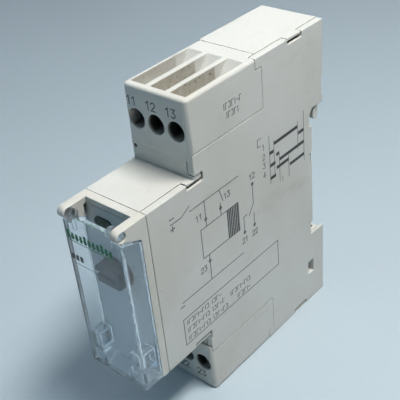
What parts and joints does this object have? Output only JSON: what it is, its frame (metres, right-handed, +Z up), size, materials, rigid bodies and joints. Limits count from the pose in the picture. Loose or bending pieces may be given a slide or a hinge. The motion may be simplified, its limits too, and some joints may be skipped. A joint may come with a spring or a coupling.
{
  "type": "din rail timer",
  "caption": "One-module timing relay for a 35 mm rail, with a hinged clear cover, a setting knob and screw clamp terminals above and below.",
  "frame": {"origin": "centre of the flat face that sits on the front of the rail, on the rail's centre line", "axes": "+Z up along the tall side, +X across the module towards the removable lid, +Y out of the rear through the rail, -Y to the front"},
  "size_m": [0.018, 0.0729, 0.083],
  "materials": {
    "housing_plastic": "fine moulded texture, ivory",
    "clear_plastic": "clear moulded polycarbonate",
    "fascia_grey": "smooth printed plate",
    "knob_plastic": "dark grey moulded",
    "clip_plastic": "grey moulded",
    "lamp_lens": "dark green lens, unlit",
    "board_laminate": "green solder mask",
    "component_black": "moulded black",
    "relay_plastic": "dark blue moulded case",
    "component_blue": "dipped lacquer",
    "component_yellow": "epoxy case",
    "zinc_steel": "zinc plated",
    "contact_copper": "bright stamped"
  },
  "bodies": {
    "housing": {"housing_shell": "housing_plastic", "side_lid": "housing_plastic", "upper_terminal_cover": "housing_plastic", "lower_terminal_cover": "housing_plastic", "front_bezel": "housing_plastic", "front_fascia": "fascia_grey", "indicator_lens": "lamp_lens", "indicator_led": "lamp_lens", "main_board": "board_laminate", "front_board": "board_laminate", "timing_chip": "component_black", "display_driver_chip": "component_black", "board_link": "component_black", "rectifier_diodes": "component_black", "smoothing_capacitor": "component_black", "coupling_capacitor": "component_black", "potentiometer_body": "component_black", "relay_base": "component_black", "relay_case": "relay_plastic", "varistor": "component_blue", "resistors": "component_blue", "film_capacitor": "component_yellow", "clip_spring": "zinc_steel", "relay_yoke": "zinc_steel", "contact_bar_a1": "contact_copper", "contact_bar_c15": "contact_copper", "contact_bar_y1": "contact_copper", "contact_bar_c16": "contact_copper", "contact_bar_c18": "contact_copper", "contact_bar_a2": "contact_copper", "relay_fixed_contacts": "contact_copper", "relay_coil": "contact_copper"},
    "cover": {"clear_cover": "clear_plastic"},
    "knob": {"time_knob": "knob_plastic", "potentiometer_rotor": "knob_plastic"},
    "clip": {"rail_clip": "clip_plastic"},
    "armature": {"relay_armature": "zinc_steel", "relay_moving_contact": "contact_copper"},
    "screw_a1": {"terminal_screw_a1": "zinc_steel"},
    "clamp_a1": {"clamp_cage_a1": "zinc_steel"},
    "screw_c15": {"terminal_screw_c15": "zinc_steel"},
    "clamp_c15": {"clamp_cage_c15": "zinc_steel"},
    "screw_y1": {"terminal_screw_y1": "zinc_steel"},
    "clamp_y1": {"clamp_cage_y1": "zinc_steel"},
    "screw_c16": {"terminal_screw_c16": "zinc_steel"},
    "clamp_c16": {"clamp_cage_c16": "zinc_steel"},
    "screw_c18": {"terminal_screw_c18": "zinc_steel"},
    "clamp_c18": {"clamp_cage_c18": "zinc_steel"},
    "screw_a2": {"terminal_screw_a2": "zinc_steel"},
    "clamp_a2": {"clamp_cage_a2": "zinc_steel"}
  },
  "joints": [
    {"name": "cover_hinge", "type": "hinge", "parent": "housing", "child": "cover", "pos_m": [0, -0.0666, 0.0211], "axis": [-1, 0, 0], "range_deg": [0, 110]},
    {"name": "knob_turn", "type": "hinge", "parent": "housing", "child": "knob", "pos_m": [0, -0.063, 0.0055], "axis": [0, 1, 0], "range_deg": [-45, 225]},
    {"name": "clip_slide", "type": "slide", "parent": "housing", "child": "clip", "axis": [0, 0, -1], "range_m": [0, 0.003], "stiffness_N_per_m": 1500, "springref_m": -0.002, "deforming": ["clip_spring"]},
    {"name": "armature_tilt", "type": "hinge", "parent": "housing", "child": "armature", "pos_m": [0.0052, -0.017, 0.00435], "axis": [0, -1, 0], "range_deg": [0, 3], "stiffness_Nm_per_rad": 0.01, "springref_deg": -2.86},
    {"name": "screw_a1_turn", "type": "hinge", "parent": "housing", "child": "screw_a1", "pos_m": [-0.00585, -0.0411, 0.0336], "axis": [0, 1, 0], "range_deg": [0, 1980]},
    {"name": "clamp_a1_slide", "type": "slide", "parent": "housing", "child": "clamp_a1", "axis": [0, -1, 0], "range_m": [0, 0.00275]},
    {"name": "screw_c15_turn", "type": "hinge", "parent": "housing", "child": "screw_c15", "pos_m": [-0.00015, -0.0411, 0.0336], "axis": [0, 1, 0], "range_deg": [0, 1980]},
    {"name": "clamp_c15_slide", "type": "slide", "parent": "housing", "child": "clamp_c15", "axis": [0, -1, 0], "range_m": [0, 0.00275]},
    {"name": "screw_y1_turn", "type": "hinge", "parent": "housing", "child": "screw_y1", "pos_m": [0.00555, -0.0411, 0.0336], "axis": [0, 1, 0], "range_deg": [0, 1980]},
    {"name": "clamp_y1_slide", "type": "slide", "parent": "housing", "child": "clamp_y1", "axis": [0, -1, 0], "range_m": [0, 0.00275]},
    {"name": "screw_c16_turn", "type": "hinge", "parent": "housing", "child": "screw_c16", "pos_m": [-0.00585, -0.0411, -0.0336], "axis": [0, 1, 0], "range_deg": [0, 1980]},
    {"name": "clamp_c16_slide", "type": "slide", "parent": "housing", "child": "clamp_c16", "axis": [0, -1, 0], "range_m": [0, 0.00275]},
    {"name": "screw_c18_turn", "type": "hinge", "parent": "housing", "child": "screw_c18", "pos_m": [-0.00015, -0.0411, -0.0336], "axis": [0, 1, 0], "range_deg": [0, 1980]},
    {"name": "clamp_c18_slide", "type": "slide", "parent": "housing", "child": "clamp_c18", "axis": [0, -1, 0], "range_m": [0, 0.00275]},
    {"name": "screw_a2_turn", "type": "hinge", "parent": "housing", "child": "screw_a2", "pos_m": [0.00555, -0.0411, -0.0336], "axis": [0, 1, 0], "range_deg": [0, 1980]},
    {"name": "clamp_a2_slide", "type": "slide", "parent": "housing", "child": "clamp_a2", "axis": [0, -1, 0], "range_m": [0, 0.00275]}
  ],
  "couplings": [
    {"joint": "screw_a1_turn", "follows": "clamp_a1_slide", "rad_per_m": 12566},
    {"joint": "screw_c15_turn", "follows": "clamp_c15_slide", "rad_per_m": 12566},
    {"joint": "screw_y1_turn", "follows": "clamp_y1_slide", "rad_per_m": 12566},
    {"joint": "screw_c16_turn", "follows": "clamp_c16_slide", "rad_per_m": 12566},
    {"joint": "screw_c18_turn", "follows": "clamp_c18_slide", "rad_per_m": 12566},
    {"joint": "screw_a2_turn", "follows": "clamp_a2_slide", "rad_per_m": 12566}
  ]
}
